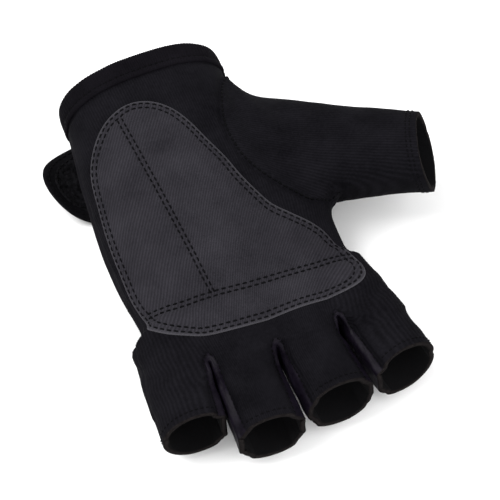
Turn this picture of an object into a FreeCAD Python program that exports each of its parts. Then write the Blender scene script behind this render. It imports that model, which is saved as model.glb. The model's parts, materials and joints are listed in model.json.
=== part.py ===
import FreeCAD, Part
import Sketcher
import math
import os

# A left-hand short-finger neoprene sailing glove, lying on its back with the palm up.
# Frame: +Z up out of the palm, fingers towards -Y, thumb towards +X.  The origin is on the
# surface that the glove lies on, under the middle of the palm.

V = FreeCAD.Vector

DIMS = {
    # fabric
    "wall": 2.6,             # neoprene with jersey on both faces
    "patch_thick": 0.9,
    "tape_thick": 0.9,
    "gap": 0.5,              # running clearance between two moving bodies
    # hand shell: rounded cross sections, from the cuff to the roots of the fingers
    "cuff_y": 90.5,
    "wrist_y": 62.0,
    "thenar_y": 35.0,
    "palm_y": -18.0,
    "root_y": -44.0,
    "cuff_half_width": 38.5,
    "wrist_half_width": 42.0,
    "thenar_half_width": 52.0,
    "palm_half_width": 48.0,
    "root_half_width": 54.0,
    "cuff_bottom": 4.6,
    "cuff_top": 52.0,
    "wrist_top": 49.0,
    "thenar_top": 44.0,
    "palm_top": 37.0,
    "root_top": 29.0,
    "shell_flat": 0.8,       # how far the fabric is pressed flat where the glove lies
    "wrist_flat_z": 4.6,
    "seam_z": 18.0,          # height of the side seam between palm and back panels
    # cuff binding
    "binding_width": 10.0,
    # wrist strap
    "strap_thick": 2.4,
    "strap_width": 43.0,
    "strap_centre_y": 68.0,
    "strap_hinge_x": 19.0,
    "strap_tip_x": -68.0,
    "hook_thick": 0.9,
    "loop_thick": 0.9,
    "hook_length": 34.0,
    "loop_length": 40.0,
    "loop_ulnar_x": -44.0,
    "loop_inset": 4.0,
    "loop_to_binding": 1.0,
    "patch_margin": 5.0,
    # thumb
    "thumb_root_long": 33.0,
    "thumb_root_high": 18.0,
    "thumb_mid_long": 22.0,
    "thumb_mid_high": 17.0,
    "thumb_tip_long": 17.0,
    "thumb_tip_high": 16.0,
    # fingers
    "finger_half_width": 13.2,
    "finger_half_height": 12.6,
    "finger_side": 8.8,      # a side wall starts this far from the finger's centre line
}

# name, x of the root's centre, azimuth from -Y towards +X, length, side walls (-1 ulnar, +1 radial)
FINGERS = [
    ("little", -51.3, -4.5, 28.0, (1,)),
    ("ring", -24.2, -4.5, 40.0, (-1, 1)),
    ("middle", 2.9, 1.0, 40.0, (-1, 1)),
    ("index", 30.0, 8.0, 36.0, (-1,)),
]
FINGER_ROOT_Z = 15.0
FINGER_TILT = 5.0
FINGER_TIP_SCALE = 0.985

# thumb sections: centre, azimuth, upward tilt
THUMB = {
    "root": (V(32.0, 40.0, 22.0), 104.5, 0.0),
    "mid": (V(58.0, 21.5, 27.0), 79.0, 12.0),
    "tip": (V(84.0, 4.0, 34.0), 73.0, 20.0),
}

# palm patch: points of its smooth outline, seen from above
PATCH_OUTLINE = [(-10.5, 60.5), (-18, 66.5), (-26, 69), (-35, 67.5), (-46, 59), (-52.5, 43), (-55.5, 18),
                 (-56.5, -6), (-54, -24), (-46, -34), (-30, -39.5), (-5, -42), (18, -42.5), (30, -41.5),
                 (35, -36), (34, -26), (29, -13), (19, -3), (9.5, 7), (4, 21), (-2, 40)]
SECTION_POWER = 2.5
FORM_PAST = 3.0              # the hand's forms run past both mouths and are cut off there
BIG = 300.0

doc = FreeCAD.newDocument("SailingGlove")
sheet = doc.addObject("Spreadsheet::Sheet", "Dims")
for row, (alias, value) in enumerate(DIMS.items(), start=1):
    sheet.set("A%d" % row, alias)
    sheet.set("B%d" % row, str(value))
    sheet.setAlias("B%d" % row, alias)
doc.recompute()

NODES = {}


def dim(alias):
    """Read one driving dimension."""
    return float(sheet.get(alias))


def bind(obj, prop, expression):
    """Tie a property to the sheet: every word that is an alias is read from it."""
    words = [("Dims." + word if word in DIMS else word) for word in expression.split()]
    obj.setExpression(prop, " ".join(words))


def node(name, obj):
    """Name a finished sub-part after its file."""
    obj.Label = name
    NODES[name] = obj
    return obj


def boolean(kind, name, base, tool):
    obj = doc.addObject("Part::" + kind, name)
    obj.Base = base
    obj.Tool = tool
    return obj


def box(name, low, high, placement=None):
    """A cutting block between two corners, given in the placement's own frame."""
    obj = doc.addObject("Part::Box", name)
    obj.Length = high[0] - low[0]
    obj.Width = high[1] - low[1]
    obj.Height = high[2] - low[2]
    start = FreeCAD.Placement(V(*low), FreeCAD.Rotation())
    obj.Placement = placement.multiply(start) if placement else start
    return obj


def facing(azimuth, tilt):
    """The rotation that lays a section's normal along a tube's direction."""
    turn = FreeCAD.Rotation(V(0, 0, 1), azimuth)
    return turn.multiply(FreeCAD.Rotation(V(1, 0, 0), 90 - tilt))


def heading(azimuth, tilt=0.0):
    """Unit vector for an azimuth from -Y towards +X and an upward tilt."""
    angle = math.radians(azimuth)
    lift = math.radians(tilt)
    return V(math.sin(angle) * math.cos(lift), -math.cos(angle) * math.cos(lift), math.sin(lift))


def ellipse(name, centre, azimuth, tilt, long_half, high_half):
    obj = doc.addObject("Part::Ellipse", name)
    bind(obj, "MajorRadius", long_half)
    bind(obj, "MinorRadius", high_half)
    obj.Placement = FreeCAD.Placement(centre, facing(azimuth, tilt))
    return obj


def loft(name, sections):
    obj = doc.addObject("Part::Loft", name)
    obj.Sections = sections
    obj.Solid = True
    obj.Ruled = False
    return obj


def rounded_section(name, placement, long_half, high_half):
    """A closed, crowned cross section in the placement's own plane."""
    points = []
    steps = 28
    for i in range(steps):
        angle = 2 * math.pi * i / steps
        across = abs(math.cos(angle)) ** (2 / SECTION_POWER) * math.copysign(1, math.cos(angle))
        up = abs(math.sin(angle)) ** (2 / SECTION_POWER) * math.copysign(1, math.sin(angle))
        points.append(placement.multVec(V(long_half * across, high_half * up, 0)))
    curve = Part.BSplineCurve()
    curve.interpolate(Points=points, PeriodicFlag=True)
    obj = doc.addObject("Part::Feature", name)
    obj.Shape = Part.Wire([curve.toShape()])
    return obj


def hand_form(name, grow, past=FORM_PAST):
    """The hand's form, grown by a distance; its ends run past the mouths by another."""
    flat = dim("shell_flat")
    stations = [
        ("cuff", dim("cuff_y") + past, -13.0, dim("cuff_bottom"), dim("cuff_top")),
        ("wrist", dim("wrist_y"), -12.0, dim("wrist_flat_z") - flat, dim("wrist_top")),
        ("thenar", dim("thenar_y"), -5.5, -flat, dim("thenar_top")),
        ("palm", dim("palm_y"), -10.5, -flat, dim("palm_top")),
        ("root", dim("root_y") - past, -10.0, 0.6, dim("root_top")),
    ]
    sections = []
    for station, y, centre_x, bottom, top in stations:
        half = dim(station + "_half_width") + grow
        low = bottom - grow if grow >= 0 else bottom - grow + flat
        high = top + grow
        place = FreeCAD.Placement(V(centre_x, y, (low + high) / 2), facing(0, 0))
        sections.append(rounded_section(name + "_" + station, place, half, (high - low) / 2))
    return loft(name, sections)


def build_hand():
    """The palm and back panels; returns the hand's outer and inner forms."""
    outer = hand_form("hand_outer", 0.0)
    inner = hand_form("hand_inner", -dim("wall"), past=FORM_PAST + 1)
    between = box("between_mouths", (-BIG, dim("root_y"), -BIG), (BIG, dim("cuff_y"), BIG))
    shell = boolean("Common", "hand_shell", boolean("Cut", "hand_shell_long", outer, inner), between)

    # what the thumb panels close: everything past the thumb's root plane
    root_centre, azimuth, _ = THUMB["root"]
    at_root = FreeCAD.Placement(V(root_centre.x, root_centre.y, 0), FreeCAD.Rotation(V(0, 0, 1), azimuth))
    beyond = box("beyond_thumb_seam", (-60, -BIG, -20), (45, 0, 90), at_root)
    open_shell = boolean("Cut", "hand_shell_open", shell, beyond)

    # pressed flat where the glove lies on its back, and under the wrist strap
    floor = box("floor", (-BIG, -BIG, -50), (BIG, BIG, 0))
    strap_y = dim("strap_centre_y")
    reach = dim("strap_width") / 2 + 3
    level = dim("wrist_flat_z")
    under_strap = box("under_strap", (-BIG, strap_y - reach, -50), (BIG, strap_y + reach, level))
    rested = boolean("Cut", "hand_rested", boolean("Cut", "hand_on_floor", open_shell, floor), under_strap)

    seam = dim("seam_z")
    upper = box("palm_half", (-BIG, -BIG, seam), (BIG, BIG, BIG))
    lower = box("back_half", (-BIG, -BIG, -BIG), (BIG, BIG, seam))
    node("palm_panel", boolean("Common", "palm_panel", rested, upper))
    node("back_panel", boolean("Common", "back_panel", rested, lower))
    return outer, inner


def flat_sketch(body, name):
    """A sketch on a body's XY plane."""
    plane = [f for f in body.Origin.OriginFeatures if f.Role == "XY_Plane"][0]
    sketch = body.newObject("Sketcher::SketchObject", name)
    sketch.AttachmentSupport = (plane, "")
    sketch.MapMode = "FlatFace"
    return sketch


def build_palm_patch():
    """The overlay: its outline cut out of the palm's own surface, then thickened."""
    body = doc.addObject("PartDesign::Body", "patch_shape")
    sketch = flat_sketch(body, "patch_sketch")
    outline = Part.BSplineCurve()
    outline.interpolate(Points=[V(x, y, 0) for x, y in PATCH_OUTLINE], PeriodicFlag=True)
    sketch.addGeometry(outline, False)
    pad = body.newObject("PartDesign::Pad", "patch_pad")
    pad.Profile = sketch
    pad.Length = BIG

    surface = hand_form("patch_top", 0.0)
    surface.Solid = False
    surface.Placement.Base.z = dim("patch_thick")
    lower = box("patch_side", (-BIG, -BIG, -BIG), (BIG, BIG, dim("seam_z") + 2))
    prism = boolean("Cut", "patch_prism", body, lower)
    patch = doc.addObject("Part::Extrusion", "palm_patch")
    patch.Base = boolean("Common", "patch_face", surface, prism)
    patch.Dir = V(0, 0, -1)
    patch.DirMode = "Custom"
    patch.Solid = True
    bind(patch, "LengthFwd", "patch_thick")
    node("palm_patch", patch)


def build_cuff_binding(outer, inner):
    """A tape folded over the cuff's edge, lying on the fabric outside and inside."""
    tape = dim("tape_thick")
    low = dim("cuff_y") - dim("binding_width")
    edge = dim("cuff_y")
    outside = hand_form("tape_outer", tape)
    inside = hand_form("tape_inner", -dim("wall") - tape, past=FORM_PAST * 2)

    def ring(name, around, hole, start, end):
        band = box(name + "_band", (-BIG, start, -BIG), (BIG, end, BIG))
        disc = boolean("Common", name + "_disc", around, band)
        return boolean("Cut", name, disc, hole)

    fold = doc.addObject("Part::MultiFuse", "cuff_binding")
    fold.Shapes = [ring("tape_outside", outside, outer, low, edge),
                   ring("tape_inside", inner, inside, low, edge),
                   ring("tape_edge", outside, inside, edge, edge + tape)]
    node("cuff_binding", fold)


def strap_outline(sketch, tip_x, base_x, half_width):
    """A straight strap with a round end towards -X."""
    round_x = tip_x + half_width
    points = [V(round_x, half_width, 0), V(base_x, half_width, 0), V(base_x, -half_width, 0),
              V(round_x, -half_width, 0)]
    for start, end in zip(points, points[1:]):
        sketch.addGeometry(Part.LineSegment(start, end), False)
    sketch.addGeometry(Part.Arc(points[-1], V(tip_x, 0, 0), points[0]), False)


def strap_layer(name, tip_x, base_x, half_width, z, thickness, centre_y):
    body = doc.addObject("PartDesign::Body", name)
    sketch = flat_sketch(body, name + "_sketch")
    strap_outline(sketch, tip_x, base_x, half_width)
    pad = body.newObject("PartDesign::Pad", name + "_pad")
    pad.Profile = sketch
    bind(pad, "Length", thickness)
    body.Placement = FreeCAD.Placement(V(0, centre_y, z), FreeCAD.Rotation())
    return body


def build_wrist_strap():
    half = dim("strap_width") / 2
    centre_y = dim("strap_centre_y")
    tip = dim("strap_tip_x")
    margin = dim("patch_margin")
    strap = strap_layer("wrist_strap", tip, dim("strap_hinge_x"), half, 0, "strap_thick", centre_y)
    node("wrist_strap", strap)
    hook = strap_layer("hook_patch", tip + margin, tip + margin + dim("hook_length"), half - margin,
                       dim("strap_thick"), "hook_thick", centre_y)
    node("hook_patch", hook)
    loop_x = dim("loop_ulnar_x")
    loop_top = dim("wrist_flat_z")
    loop_end = dim("cuff_y") - dim("binding_width") - dim("loop_to_binding")
    loop = box("loop_patch", (loop_x, centre_y - half + dim("loop_inset"), loop_top - dim("loop_thick")),
               (loop_x + dim("loop_length"), loop_end, loop_top))
    node("loop_patch", loop)


def build_finger(name, root_x, azimuth, length, walls):
    ahead = heading(azimuth, FINGER_TILT)
    start = V(root_x, dim("root_y") - dim("gap"), FINGER_ROOT_Z)
    end = start + ahead * length
    rise = FINGER_TILT * 2
    outer = loft(name + "_outer", [
        ellipse(name + "_root", start, 0, 0, "finger_half_width", "finger_half_height"),
        ellipse(name + "_tip", end, azimuth, rise, "finger_half_width * %g" % FINGER_TIP_SCALE,
                "finger_half_height * %g" % FINGER_TIP_SCALE)])
    before = start + V(0, 3, 0)
    after = end + ahead * 3
    inner = loft(name + "_inner", [
        ellipse(name + "_bore_root", before, 0, 0, "finger_half_width - wall",
                "finger_half_height - wall"),
        ellipse(name + "_bore_tip", after, azimuth, rise, "finger_half_width * %g - wall" % FINGER_TIP_SCALE,
                "finger_half_height * %g - wall" % FINGER_TIP_SCALE)])
    tube = boolean("Cut", name + "_tube", outer, inner)

    side = dim("finger_side")
    along = FreeCAD.Placement(start, facing(azimuth, FINGER_TILT))
    left = -side if -1 in walls else -BIG
    right = side if 1 in walls else BIG
    front = box(name + "_front_zone", (left, 0, -20), (right, BIG, length + 20), along)
    back = box(name + "_back_zone", (left, -BIG, -20), (right, 0, length + 20), along)
    node(name + "_front", boolean("Common", name + "_front", tube, front))
    node(name + "_back", boolean("Common", name + "_back", tube, back))
    for wall in walls:
        low, high = (side, BIG) if wall > 0 else (-BIG, -side)
        zone = box("%s_wall_zone_%d" % (name, wall), (low, -BIG, -20), (high, BIG, length + 20), along)
        side_name = "radial" if wall > 0 else "ulnar"
        label = "%s_fourchette_%s" % (name, side_name)
        node(label, boolean("Common", label, tube, zone))


def thumb_form(name, grow, past):
    """The thumb's form, grown by a distance; its ends run past the seam and the mouth by another."""
    sections = []
    for station, (centre, azimuth, tilt) in THUMB.items():
        reach = {"root": -past, "mid": 0.0, "tip": past}[station]
        clear = dim("gap") if station == "root" else 0.0
        place = FreeCAD.Placement(centre + heading(azimuth, tilt) * (reach + clear), facing(azimuth, tilt))
        sections.append(rounded_section(name + "_" + station, place, dim("thumb_%s_long" % station) + grow,
                                        dim("thumb_%s_high" % station) + grow))
    return loft(name, sections)


def build_thumb():
    outer = thumb_form("thumb_outer", 0.0, 0.0)
    inner = thumb_form("thumb_inner", -dim("wall"), 5.0)
    tube = boolean("Cut", "thumb_tube", outer, inner)
    root_centre = THUMB["root"][0]
    run = THUMB["tip"][0] - root_centre
    lift = math.degrees(math.atan2(run.z, math.hypot(run.x, run.y)))
    turn = math.degrees(math.atan2(run.x, -run.y))
    along = FreeCAD.Placement(root_centre, facing(turn, lift))
    front = box("thumb_front_zone", (-BIG, 0, -50), (BIG, BIG, BIG), along)
    back = box("thumb_back_zone", (-BIG, -BIG, -50), (BIG, 0, BIG), along)
    node("thumb_front", boolean("Common", "thumb_front", tube, front))
    node("thumb_back", boolean("Common", "thumb_back", tube, back))


def check():
    doc.recompute()
    for obj in doc.Objects:
        if "Invalid" in obj.State or "Error" in obj.State:
            raise RuntimeError("%s failed: %s" % (obj.Name, obj.State))
    for name, obj in NODES.items():
        if obj.Shape.isNull() or not obj.Shape.isValid() or obj.Shape.Volume < 1:
            raise RuntimeError("%s has no valid shape" % name)


hand_outer, hand_inner = build_hand()
build_palm_patch()
build_cuff_binding(hand_outer, hand_inner)
build_wrist_strap()
for finger in FINGERS:
    build_finger(*finger)
build_thumb()
check()

os.makedirs("parts", exist_ok=True)
for name, obj in NODES.items():
    obj.Shape.exportStep("parts/%s.step" % name)
    print("%-28s %2d solids %9.0f mm3" % (name, len(obj.Shape.Solids), obj.Shape.Volume))
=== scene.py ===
import json
import math

import bpy
import numpy as np
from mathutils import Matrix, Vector
from mathutils.bvhtree import BVHTree
from mathutils.geometry import delaunay_2d_cdt


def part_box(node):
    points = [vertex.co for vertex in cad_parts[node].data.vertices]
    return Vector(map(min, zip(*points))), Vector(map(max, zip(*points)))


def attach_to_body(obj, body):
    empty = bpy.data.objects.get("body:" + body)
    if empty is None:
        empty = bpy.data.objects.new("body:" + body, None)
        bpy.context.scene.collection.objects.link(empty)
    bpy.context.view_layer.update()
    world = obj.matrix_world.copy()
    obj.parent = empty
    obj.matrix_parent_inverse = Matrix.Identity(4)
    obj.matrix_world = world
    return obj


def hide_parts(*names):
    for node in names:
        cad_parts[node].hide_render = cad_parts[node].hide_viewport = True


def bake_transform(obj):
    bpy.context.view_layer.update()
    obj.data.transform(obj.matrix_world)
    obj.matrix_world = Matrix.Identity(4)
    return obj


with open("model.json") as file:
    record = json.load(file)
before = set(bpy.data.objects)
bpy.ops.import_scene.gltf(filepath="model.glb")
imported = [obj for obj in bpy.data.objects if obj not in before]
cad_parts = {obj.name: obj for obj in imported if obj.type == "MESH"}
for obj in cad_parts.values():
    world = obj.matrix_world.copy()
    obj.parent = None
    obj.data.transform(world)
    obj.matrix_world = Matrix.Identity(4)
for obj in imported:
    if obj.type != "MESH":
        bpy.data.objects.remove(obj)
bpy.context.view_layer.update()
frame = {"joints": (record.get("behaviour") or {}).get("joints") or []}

# All shapes are worked out in millimetres in the CAD frame and become metres in make_mesh.
MM = 0.001


def corner(node, which):
    """One corner of a CAD node's box, in millimetres."""
    return np.array(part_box(node)[which]) / MM


JOINTS = {j["name"]: j for j in frame["joints"]}
TAPE = 0.9                                     # thickness of the folded cuff tape
BINDING_WIDTH = 10.0
CUFF_Y = corner("cuff_binding", 1)[1] - TAPE
ROOT_Y = JOINTS["ring_bend"]["pos_m"][1] / MM   # where the fingers leave the hand
WALL = 2.4                                     # neoprene
VOXEL = 1.05
UV_SPAN = 100.0                                # mm of cloth in one unit of the UV maps

# ---------------------------------------------------------------- the glove's form
# Hand sections: y, ulnar x, radial x, bottom z, top z, height of the widest line
HAND = [
    (105, -50.5, 22.0, 4.6, 50.0, 27.0), (91, -50.5, 22.0, 4.6, 50.0, 27.0),
    (76, -52.0, 23.5, 4.2, 49.0, 25.0), (55, -55.5, 28.5, 3.2, 47.0, 22.0),
    (35, -58.0, 36.0, 1.6, 45.0, 20.0), (15, -59.5, 38.5, 0.6, 42.5, 19.0),
    (-5, -59.2, 37.5, 0.6, 39.5, 18.0), (-25, -57.0, 36.0, 0.8, 35.0, 16.5),
    (-44, -59.5, 42.0, 1.0, 29.0, 15.0), (-56, -62.0, 43.5, 1.5, 26.0, 14.0),
]
HAND_POWER = 2.35
FINGER_POWER = 2.15
THUMB_POWER = 2.2
FINGER_Z = 15.0
# Fingers: root x, azimuth from -Y towards +X, half width, half height, length, tilt of the cut end
FINGERS = {
    "little": (-51.5, -5.0, 14.6, 13.0, 29.5, 8.0),
    "ring": (-24.5, -4.2, 15.2, 12.4, 42.5, 12.0),
    "middle": (3.2, 1.0, 15.0, 12.6, 40.0, 12.0),
    "index": (29.0, 8.0, 14.8, 13.0, 37.0, 12.0),
}
FINGER_TILT = 4.0
FINGER_ROOT_Y = -42.0
# Slots between neighbouring fingers: start x and y, azimuth, growth of the half width per mm
SLOTS = [(-38.8, -47.0, -5.5, 0.0), (-11.0, -52.0, -3.0, 0.0), (17.0, -50.0, 5.0, 0.02)]
SLOT_HALF = 0.6
# Thumb centre line: x, y, z, half length and half height of the section
THUMB = [(18.0, 45.5, 21.0, 24.0, 16.0), (30.3, 36.0, 22.0, 27.0, 16.5), (57.0, 20.5, 27.0, 21.0, 16.5),
         (84.0, 4.0, 34.0, 16.5, 16.0), (98.0, -6.0, 38.5, 16.5, 15.5)]
THUMB_END = ((84.0, 4.0, 34.0), 66.0, 20.0)
# Outline of the thumb panels in plan; its first part is the seam across the palm
THUMB_PANEL = [(25, 80), (16, 68), (10, 54), (7.5, 43), (8, 32), (10.5, 23), (16, 14), (22, 7.5),
               (29, 2.5), (37, 1.5), (44, 3), (60, -30), (115, -40), (115, 60), (45, 90)]
THUMB_SEAM_POINTS = 11
# Curves on the palm side are given around the hand and along it: u is AROUND times the angle from
# the upright at the line x = MIDDLE_X, z = MIDDLE_Z, and the second number is y.
AROUND = 45.0
MIDDLE_X = -12.0
MIDDLE_Z = 5.0
OVERLAY = [
    (-5, 66), (-13.5, 69), (-22.5, 67.7), (-30, 63.6), (-36, 57.5), (-41.5, 49), (-45, 36), (-47.2, 24),
    (-49, 12), (-50.6, 0), (-52, -12), (-51.3, -21), (-47.5, -28), (-42, -34), (-34, -38.5), (-18, -41.2),
    (11, -42.2), (36, -42.4), (45, -41.8), (49.5, -38.5), (51.5, -33), (50.5, -26), (46.5, -15.5),
    (41, -8.5), (33.5, -2.3), (27, 3.6), (22.3, 11.5), (18.5, 20), (15.2, 30), (11.7, 39), (7.3, 51), (2, 60),
]
LENGTH_ROW = [(-20.5, 64.5), (-20, 40), (-19.8, 16), (-20.1, -5), (-21, -24)]
CROSS_ROW = [(-49.5, -19), (-36.8, -22.3), (-20.8, -24.2), (7.3, -26.4), (35, -27.4), (50.5, -27)]
ROW_HALF = 0.95                # half the distance between the two rows of a double stitch row
BORDER_ROWS = (1.3, 3.3)       # the border's stitch rows, inward from the overlay's edge
# Folds: line, depth, width
FOLDS = [
    ([(33, 66), (31.5, 56), (31, 43), (32.4, 28), (37.8, 14.5), (44, 6)], 1.1, 3.0),
    ([(-49, 76), (-50, 60), (-52.5, 40), (-55, 20), (-58, -5)], 0.5, 1.6),
    ([(-62, -36), (-56, -43), (-50, -47)], 0.8, 2.6),
    ([(-66, -30), (-60, -36), (-53, -39)], 0.45, 2.0),
    ([(52, -44), (47, -50), (46, -56)], 0.8, 2.4),
    ([(58, -42), (62, -52), (60, -62)], 0.7, 2.6),
]


def frame_at(azimuth, tilt):
    """Unit vectors along a tube, across it and up from it."""
    turn, lift = math.radians(azimuth), math.radians(tilt)
    along = np.array([math.sin(turn) * math.cos(lift), -math.cos(turn) * math.cos(lift), math.sin(lift)])
    across = np.array([math.cos(turn), math.sin(turn), 0.0])
    up = np.cross(across, along)
    return along, across, up if up[2] > 0 else -up


def blurred(at, places, values, blur=7.0, step=0.5):
    """Values given at rising places, read anywhere and blurred into a smooth curve."""
    grid = np.arange(places[0] - 30, places[-1] + 30, step)
    values = np.interp(grid, places, values)
    reach = int(3 * blur / step)
    weights = np.exp(-0.5 * (np.arange(-reach, reach + 1) * step / blur) ** 2)
    values = np.convolve(np.pad(values, reach, mode="edge"), weights / weights.sum(), mode="valid")
    return np.interp(at, grid, values)


def station(y, column):
    """A column of HAND at any y."""
    rows = np.array(sorted(HAND))
    return blurred(y, rows[:, 0], rows[:, column])


def smooth_min(a, b, k):
    share = np.clip(0.5 + 0.5 * (b - a) / k, 0, 1)
    return b * (1 - share) + a * share - k * share * (1 - share)


def rounded(u, v, a, b, power):
    """Distance, near the surface, from a rounded section with half sizes a and b."""
    across, up = np.abs(u) / a, np.abs(v) / b
    total = across ** power + up ** power + 1e-9
    value = total ** (1 / power)
    slope = np.hypot(across ** (power - 1) / a, up ** (power - 1) / b) * value / total
    return (value - 1) / np.maximum(slope, 1 / 180)


def hand_distance(x, y, z):
    low, high = station(y, 1), station(y, 2)
    bottom, top, middle = station(y, 3), station(y, 4), station(y, 5)
    up = z - middle
    half = np.where(up > 0, top - middle, middle - bottom)
    side = rounded(x - (low + high) / 2, up, (high - low) / 2, half, HAND_POWER)
    return np.maximum(side, np.maximum(-50 - y, y - 104))


def finger_distance(name, x, y, z):
    root_x, azimuth, half_width, half_height, length, _ = FINGERS[name]
    along, across, up = frame_at(azimuth, FINGER_TILT)
    p = (x - root_x, y - FINGER_ROOT_Y, z - FINGER_Z)
    s, q, w = (p[0] * a[0] + p[1] * a[1] + p[2] * a[2] for a in (along, across, up))
    side = rounded(q, w, half_width, half_height, FINGER_POWER)
    return np.maximum(side, np.maximum(s - length - 8, -s - 14))


def thumb_distance(x, y, z):
    """A tube along one straight direction, its centre and size changing smoothly on the way."""
    rows = np.array(THUMB)
    along = rows[-1, :3] - rows[0, :3]
    along /= np.linalg.norm(along)
    across = np.cross(along, (0, 0, 1.0))
    across *= math.copysign(1 / np.linalg.norm(across), across[1])
    up = np.cross(across, along)
    up = up if up[2] > 0 else -up
    places = (rows[:, :3] - rows[0, :3]) @ along
    p = (x - rows[0, 0], y - rows[0, 1], z - rows[0, 2])
    s, q, w = (p[0] * d[0] + p[1] * d[1] + p[2] * d[2] for d in (along, across, up))
    middle_q = blurred(s, places, (rows[:, :3] - rows[0, :3]) @ across)
    middle_w = blurred(s, places, (rows[:, :3] - rows[0, :3]) @ up)
    half_width, half_height = (blurred(s, places, rows[:, k]) for k in (3, 4))
    side = rounded(q - middle_q, w - middle_w, half_width, half_height, THUMB_POWER)
    return np.maximum(side, np.maximum(-6 - s, s - places[-1]))


def rest_level(y):
    """The lowest the fabric comes: the table, and the strap under the wrist."""
    share = np.clip((y - 37) / 9, 0, 1)
    return 0.4 + 4.5 * share * share * (3 - 2 * share)


def slot_coordinates(slot, x, y):
    """Distance along a slot and across it, in plan."""
    along, across, _ = frame_at(slot[2], 0)
    dx, dy = x - slot[0], y - slot[1]
    return dx * along[0] + dy * along[1], dx * across[0] + dy * across[1]


def glove_distance(x, y, z):
    """The whole outside of the stuffed glove, its mouths still closed."""
    fingers = None
    for number, name in enumerate(FINGERS):
        d = finger_distance(name, x, y, z)
        if number > 0:
            d = np.maximum(d, -slot_coordinates(SLOTS[number - 1], x, y)[1])
        if number < len(SLOTS):
            d = np.maximum(d, slot_coordinates(SLOTS[number], x, y)[1])
        fingers = d if fingers is None else smooth_min(fingers, d, 1.2)
    whole = smooth_min(hand_distance(x, y, z), fingers, 10.0)
    whole = smooth_min(whole, thumb_distance(x, y, z), 11.0)
    for slot in SLOTS:
        s, q = slot_coordinates(slot, x, y)
        gap = np.where(s > 0, np.abs(q) - SLOT_HALF - slot[3] * np.maximum(s, 0), np.hypot(q, s) - SLOT_HALF)
        whole = np.maximum(whole, -gap)
    return np.maximum(whole, rest_level(y) - z)


def surface_nets(field, low, step):
    """Vertices and outward quads of the surface where a sampled field is zero."""
    inside = field < 0
    corners = [(i, j, k) for k in (0, 1) for j in (0, 1) for i in (0, 1)]
    size = [n - 1 for n in field.shape]
    count = sum(inside[i:size[0] + i, j:size[1] + j, k:size[2] + k].astype(np.int8) for i, j, k in corners)
    active = (count > 0) & (count < 8)
    cells = np.argwhere(active)
    index = -np.ones(active.shape, np.int64)
    index[active] = np.arange(len(cells))
    total, hits = np.zeros((len(cells), 3)), np.zeros(len(cells))
    edges = [(a, b) for a in range(8) for b in range(a + 1, 8) if bin(a ^ b).count("1") == 1]
    for a, b in edges:
        start, end = np.array(corners[a]), np.array(corners[b])
        va, vb = field[tuple((cells + start).T)], field[tuple((cells + end).T)]
        crossed = (va < 0) != (vb < 0)
        share = np.where(crossed, va / np.where(crossed, va - vb, 1), 0)
        total += np.where(crossed[:, None], start + (end - start) * share[:, None], 0)
        hits += crossed
    points = (cells + total / hits[:, None]) * step + low
    quads = []
    for axis in range(3):
        p, q = [a for a in range(3) if a != axis]
        near, far = [slice(None)] * 3, [slice(None)] * 3
        near[axis], far[axis] = slice(0, -1), slice(1, None)
        for a in (p, q):
            near[a] = far[a] = slice(1, -1)
        first, second = inside[tuple(near)], inside[tuple(far)]
        found = np.argwhere(first != second)
        facing = first[tuple(found.T)]
        found[:, p] += 1
        found[:, q] += 1
        ring = []
        for dp, dq in ((1, 1), (0, 1), (0, 0), (1, 0)):
            cell = found.copy()
            cell[:, p] -= dp
            cell[:, q] -= dq
            ring.append(index[tuple(cell.T)])
        faces = np.stack(ring, 1)
        turned = facing if axis == 1 else ~facing
        faces[turned] = faces[turned][:, ::-1]
        quads.append(faces)
    return points, np.concatenate(quads)


def gradient(function, points, reach=0.3):
    x, y, z = points.T
    return np.stack([function(x + reach, y, z) - function(x - reach, y, z),
                     function(x, y + reach, z) - function(x, y - reach, z),
                     function(x, y, z + reach) - function(x, y, z - reach)], 1) / (2 * reach)


def neighbours_mean(points, quads):
    """The mean of each vertex's neighbours along the quads' edges."""
    total, count = np.zeros_like(points), np.zeros(len(points))
    for a, b in ((0, 1), (1, 2), (2, 3), (3, 0)):
        for i, j in ((a, b), (b, a)):
            np.add.at(total, quads[:, i], points[quads[:, j]])
            np.add.at(count, quads[:, i], 1)
    return total / np.maximum(count, 1)[:, None]


def vertex_normals(points, quads):
    d1 = points[quads[:, 2]] - points[quads[:, 0]]
    d2 = points[quads[:, 3]] - points[quads[:, 1]]
    face = np.cross(d1, d2)
    total = np.zeros_like(points)
    for i in range(4):
        np.add.at(total, quads[:, i], face)
    return total / np.maximum(np.linalg.norm(total, axis=1), 1e-9)[:, None]


def outside_form():
    """The closed outer surface, evened out and drawn back to the form."""
    low = np.array([-76.0, -97.0, -3.0])
    high = np.array([102.0, 108.0, 58.0])
    axes = [np.arange(low[i], high[i] + VOXEL, VOXEL) for i in range(3)]
    field = glove_distance(*np.meshgrid(*axes, indexing="ij"))
    points, quads = surface_nets(field, low, VOXEL)
    for _ in range(3):
        points = points + 0.5 * (neighbours_mean(points, quads) - points)
        slope = gradient(glove_distance, points)
        away = glove_distance(*points.T) / np.maximum((slope ** 2).sum(1), 0.1)
        points = points - slope * np.clip(away, -0.6, 0.6)[:, None]
    return points, quads


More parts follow.
